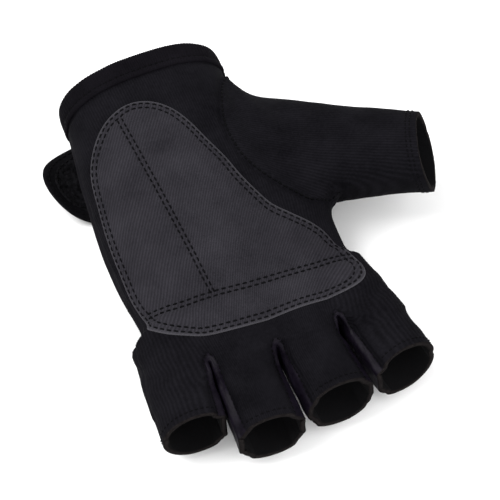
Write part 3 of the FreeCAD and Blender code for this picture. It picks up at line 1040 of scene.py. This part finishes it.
# ---------------------------------------------------------------- strap, hook and loop
def pad_shape(name, outline, heights, thickness, material, bevel=0.7, step=1.5, roughen=0.0):
    """A flat piece with rounded edges: an outline in plan, laid at a height that may vary."""
    line = smooth_line(outline, closed=True, step=1.2)
    flat, faces = fill_outline(line, line.min(0), line.max(0), step, bevel * 0.5, bevel * 1.2)
    away = np.maximum(outline_distance(flat, line), 0)
    crown = np.sqrt(np.clip(1 - (1 - np.clip(away / bevel, 0, 1)) ** 2, 0, 1))
    base = heights(flat)
    rough = roughen * np.random.RandomState(3).uniform(-1, 1, len(flat)) * (away > bevel)
    top = np.column_stack([flat, base + thickness * (0.5 + 0.5 * crown) + rough])
    bottom = np.column_stack([flat, base + thickness * (0.5 - 0.5 * crown)])
    points, every_face = two_sided(top, bottom, faces)
    return make_mesh(name, points, every_face, None, (material,), np.concatenate([flat, flat]) / UV_SPAN)


STRAP_LOW, STRAP_HIGH = corner("wrist_strap", 0), corner("wrist_strap", 1)
STRAP_MIDDLE_Y = (STRAP_LOW[1] + STRAP_HIGH[1]) / 2
HAND_EDGE_X = -50.0            # past this the strap's free end is not held down by the hand


def strap_outline(inset=0.0, end_x=None):
    """A strap with a round free end towards -X."""
    half = (STRAP_HIGH[1] - STRAP_LOW[1]) / 2 - inset
    tip = STRAP_LOW[0] + inset
    end = STRAP_HIGH[0] - inset if end_x is None else end_x
    low_y, high_y = STRAP_MIDDLE_Y - half, STRAP_MIDDLE_Y + half
    turn = [(tip + half - half * math.cos(a), STRAP_MIDDLE_Y - half * math.sin(a))
            for a in np.linspace(-math.pi / 2, math.pi / 2, 13)]
    run = np.linspace(tip + half + 6, end - 3, 6)
    square = [(end - 0.4, low_y + 0.4), (end, low_y + 3), (end, STRAP_MIDDLE_Y), (end, high_y - 3),
              (end - 0.4, high_y - 0.4)]
    return turn + [(x, low_y) for x in run] + square + [(x, high_y) for x in run[::-1]]


def strap_rise(flat):
    """The free end of the strap curls up a little past the hand's edge."""
    past = np.clip(HAND_EDGE_X - flat[:, 0], 0, None)
    return 0.25 + 0.036 * past ** 2


def build_strap():
    thick = STRAP_HIGH[2] - STRAP_LOW[2]
    strap = pad_shape("wrist_strap_fabric", strap_outline(), strap_rise, thick, STRAP_CLOTH, bevel=1.1)
    margin = corner("hook_patch", 0)[0] - STRAP_LOW[0]
    hook_end = corner("hook_patch", 1)[0]
    hook = pad_shape("hook_patch_fuzz", strap_outline(margin, hook_end),
                     lambda f: strap_rise(f) + thick - 0.25, 1.15, FUZZ, bevel=0.5, step=0.8, roughen=0.3)
    rows = []
    for outline, top in ((strap_outline(2.6), thick),
                         (strap_outline(margin + 1.0, hook_end - 1.0), thick + 0.9)):
        line = smooth_line(outline, closed=True, step=1.2)
        line = np.concatenate([line, line[:1]])
        for up, offset in ((1.0, top), (-1.0, 0.3)):
            rows.append((np.column_stack([line, strap_rise(line) + offset]),
                         np.tile([0, 0, up], (len(line), 1))))
    # the sewn end: three crossing rows of stitches under the back of the wrist
    x0, x1 = STRAP_HIGH[0] - 12, STRAP_HIGH[0] - 3
    y0, y1 = STRAP_LOW[1] + 5, STRAP_HIGH[1] - 5
    for a, b in (((x0, y0), (x0, y1)), ((x0, y0), (x1, y1)), ((x0, y1), (x1, y0))):
        line = np.linspace(a, b, 20)
        rows.append((np.column_stack([line, np.full(20, 0.55)]), np.tile([0, 0, -1.0], (20, 1))))
    return strap, hook, stitches("strap_thread", rows)


def build_loop():
    low, high = corner("loop_patch", 0), corner("loop_patch", 1)
    x, y = ([a, a + 2, (a + b) / 2, b - 2, b] for a, b in zip(low[:2], high[:2]))
    turns = [(0, 1), (1, 0), (2, 0), (3, 0), (4, 1), (4, 2), (4, 3), (3, 4), (2, 4), (1, 4), (0, 3), (0, 2)]
    return pad_shape("loop_patch_fuzz", [(x[i], y[j]) for i, j in turns], lambda f: np.full(len(f), low[2]),
                     high[2] - low[2] + 0.6, FUZZ, bevel=0.4, step=0.9, roughen=0.15)


# ---------------------------------------------------------------- assembly
HEM = 2.6                      # a hem's row of stitches, back from the cut end
THUMB_SECOND_HEM = 4.4


def attach(piece, body, node=None):
    """Let a piece ride on a body, in place of a CAD node if it has one."""
    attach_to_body(piece, body)
    if node:
        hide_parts(node)


def build_overlay_thread(tree):
    rows = [overlay_row(inset_outline(d), tree) for d in BORDER_ROWS]
    for line in (smooth_line(LENGTH_ROW), smooth_line(CROSS_ROW)):
        for side in (-ROW_HALF, ROW_HALF):
            rows.append(overlay_row(offset_line(line, side), tree))
    return stitches("overlay_thread", rows, length=2.05, radius=0.34)


def build_thumb_seam_thread():
    line = offset_line(smooth_line(THUMB_PANEL[:THUMB_SEAM_POINTS], step=1.0), 0.9)
    row = tuple(zip(*[from_above(x, y) for x, y in line]))
    return stitches("thumb_seam_thread", [row], pitch=2.6, length=2.0, radius=0.36)


def build_stall(name, panels):
    """A finger's or the thumb's panels, and its hem."""
    for node, piece in panels.items():
        if not node.startswith(name + "_"):
            continue
        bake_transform(piece)
        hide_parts(node)
    rows = mouth_rows(name, HEM)
    if name == "thumb":
        rows += mouth_rows(name, THUMB_SECOND_HEM)
    attach(stitches(name + "_hem_thread", rows, pitch=2.1, length=1.6, radius=0.24), name)


def build_web_threads():
    order = list(FINGERS)
    for number, slot in enumerate(SLOTS):
        for side, name in ((-1, order[number]), (1, order[number + 1])):
            seam = stitches("%s_web_thread_%d" % (name, number + 1), web_rows(slot, side), pitch=2.3,
                            length=1.8, radius=0.24)
            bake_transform(seam)


def build_glove():
    panels = build_panels()
    overlay, overlay_tree = build_overlay()
    binding, binding_thread = build_binding()
    strap, hook, strap_thread = build_strap()
    attach(panels["palm_panel"], "hand", "palm_panel")
    attach(panels["back_panel"], "hand", "back_panel")
    attach(overlay, "hand", "palm_patch")
    attach(binding, "hand", "cuff_binding")
    attach(build_loop(), "hand", "loop_patch")
    attach(build_overlay_thread(overlay_tree), "hand")
    attach(build_thumb_seam_thread(), "hand")
    attach(binding_thread, "hand")
    attach(strap, "strap", "wrist_strap")
    attach(hook, "strap", "hook_patch")
    attach(strap_thread, "strap")
    for name in ("thumb", *FINGERS):
        build_stall(name, panels)
    build_web_threads()


build_glove()


# ---------------------------------------------------------------- stage, lights and camera
def build_stage():
    size = 3.0
    mesh = bpy.data.meshes.new("floor")
    corners = [(-size, -size, 0), (size, -size, 0), (size, size, 0), (-size, size, 0)]
    mesh.from_pydata(corners, [], [(0, 1, 2, 3)])
    floor = bpy.data.objects.new("floor", mesh)
    bpy.context.scene.collection.objects.link(floor)
    material, _, _ = shader("floor_white", (0.82, 0.82, 0.82), 0.9)
    mesh.materials.append(material)


def add_light(name, position, energy, size):
    light = bpy.data.lights.new(name, "AREA")
    light.energy = energy
    light.size = size
    obj = bpy.data.objects.new(name, light)
    obj.location = position
    obj.rotation_euler = (Vector((0, 0, 0.02)) - Vector(position)).to_track_quat("-Z", "Y").to_euler()
    bpy.context.scene.collection.objects.link(obj)


def build_camera():
    azimuth, elevation, distance = math.radians(-23.8), math.radians(58.4), 0.70
    back = Vector((math.sin(azimuth) * math.cos(elevation), -math.cos(azimuth) * math.cos(elevation),
                   math.sin(elevation)))
    target = Vector((0, 0, 0.015))
    camera = bpy.data.cameras.new("camera")
    camera.lens = 118.4
    camera.sensor_width = 36
    obj = bpy.data.objects.new("camera", camera)
    obj.location = target + back * distance
    obj.rotation_euler = (-back).to_track_quat("-Z", "Y").to_euler()
    bpy.context.scene.collection.objects.link(obj)
    bpy.context.scene.camera = obj


build_stage()
build_camera()
add_light("key", (-0.5, 0.35, 0.9), 14, 0.7)
add_light("fill", (0.7, -0.5, 0.7), 7, 0.9)
add_light("front", (-0.2, -0.9, 0.5), 5, 0.8)
world = bpy.data.worlds.new("studio")
world.use_nodes = True
world.node_tree.nodes["Background"].inputs["Color"].default_value = (1, 1, 1, 1)
world.node_tree.nodes["Background"].inputs["Strength"].default_value = 0.9
bpy.context.scene.world = world
bpy.context.scene.view_settings.view_transform = "Standard"
